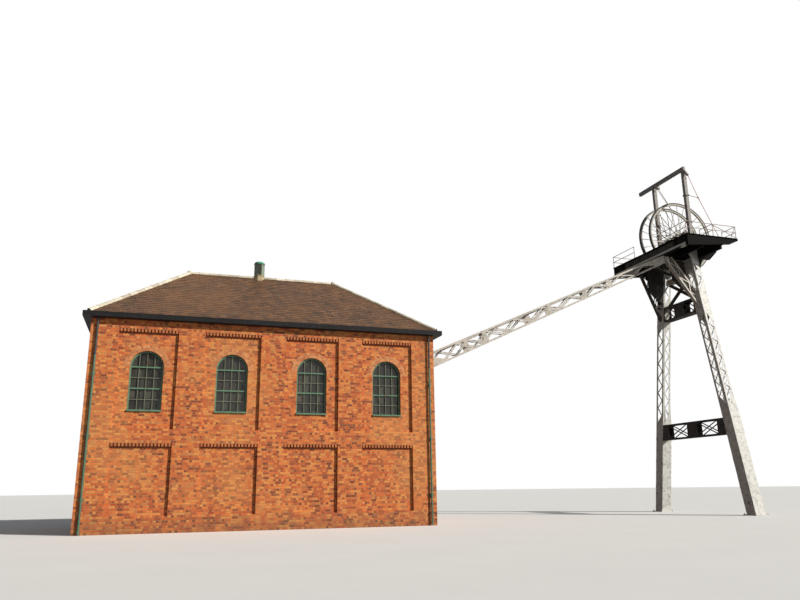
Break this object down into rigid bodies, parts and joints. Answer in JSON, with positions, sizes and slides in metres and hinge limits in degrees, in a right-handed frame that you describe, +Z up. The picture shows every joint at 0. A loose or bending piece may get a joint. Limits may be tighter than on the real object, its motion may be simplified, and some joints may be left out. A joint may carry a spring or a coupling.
{
  "type": "steam winding engine house with headgear",
  "caption": "Brick winding engine house with a hipped slate roof, tied by raking lattice backstays to a lattice steel headgear that carries its rope sheaves.",
  "frame": {"origin": "ground level, at the middle of the whole plan", "axes": "+X along the long front from the house to the headgear, +Y into the depth, +Z up"},
  "size_m": [33.645, 9.02, 19.75],
  "materials": {
    "brick": "fired brick in lime mortar, weathered",
    "slate": "riven slate, brown-grey",
    "ridge_tile": "pale fired clay",
    "concrete": "floor screed",
    "black_paint": "black gloss paint",
    "vent_paint": "dull green-grey paint",
    "green_paint": "green gloss paint",
    "window_paint": "green gloss paint",
    "glass": "window glass, dark inside",
    "sheave_paint": "weathered pale paint",
    "cast_iron": "rusted casting",
    "rusted_steel": "dark paint with rust",
    "deck_plate": "rusted floor plate",
    "rail_paint": "worn paint",
    "red_paint": "faded red paint",
    "hoist_steel": "oily yellow paint",
    "gantry_paint": "dark worn paint",
    "steel_paint": "weathered white-grey paint with rust"
  },
  "bodies": {
    "structure": {"backstay_ties": "steel_paint", "chain_hoist": "hoist_steel", "deck_frame": "rusted_steel", "downpipe_front_left": "green_paint", "downpipe_front_right": "green_paint", "downpipe_rear_left": "green_paint", "downpipe_rear_right": "green_paint", "eaves_fascia": "black_paint", "eaves_gutter": "black_paint", "engine_floor": "concrete", "far_backstay": "steel_paint", "far_deck_plate": "deck_plate", "far_handrail": "rail_paint", "far_inner_bearing": "cast_iron", "far_knee_brace": "rusted_steel", "far_leg": "steel_paint", "far_outer_bearing": "cast_iron", "far_stay_shoe": "cast_iron", "front_glass": "glass", "front_wall": "brick", "front_window_1": "window_paint", "front_window_2": "window_paint", "front_window_3": "window_paint", "front_window_4": "window_paint", "gantry_stay": "red_paint", "head_brace_left": "rusted_steel", "head_brace_right": "rusted_steel", "head_girder": "rusted_steel", "left_end_wall": "brick", "lifting_gantry": "gantry_paint", "low_cross_girder": "rusted_steel", "near_backstay": "steel_paint", "near_deck_plate": "deck_plate", "near_handrail": "rail_paint", "near_inner_bearing": "cast_iron", "near_knee_brace": "rusted_steel", "near_leg": "steel_paint", "near_outer_bearing": "cast_iron", "near_stay_shoe": "cast_iron", "rear_glass": "glass", "rear_wall": "brick", "rear_window_1": "window_paint", "rear_window_2": "window_paint", "rear_window_3": "window_paint", "rear_window_4": "window_paint", "ridge_and_hip_tiles": "ridge_tile", "ridge_ventilator": "vent_paint", "right_end_wall": "brick", "roof_front_slope": "slate", "roof_left_hip": "slate", "roof_rear_slope": "slate", "roof_right_hip": "slate", "top_tie": "steel_paint"},
    "near_wheel": {"near_sheave": "sheave_paint"},
    "far_wheel": {"far_sheave": "sheave_paint"}
  },
  "joints": [
    {"name": "near_sheave_turn", "type": "hinge", "parent": "structure", "child": "near_wheel", "pos_m": [14.6875, -0.45, 15.65], "axis": [0, 1, 0], "continuous": true},
    {"name": "far_sheave_turn", "type": "hinge", "parent": "structure", "child": "far_wheel", "pos_m": [14.6875, 0.45, 15.65], "axis": [0, 1, 0], "continuous": true}
  ]
}
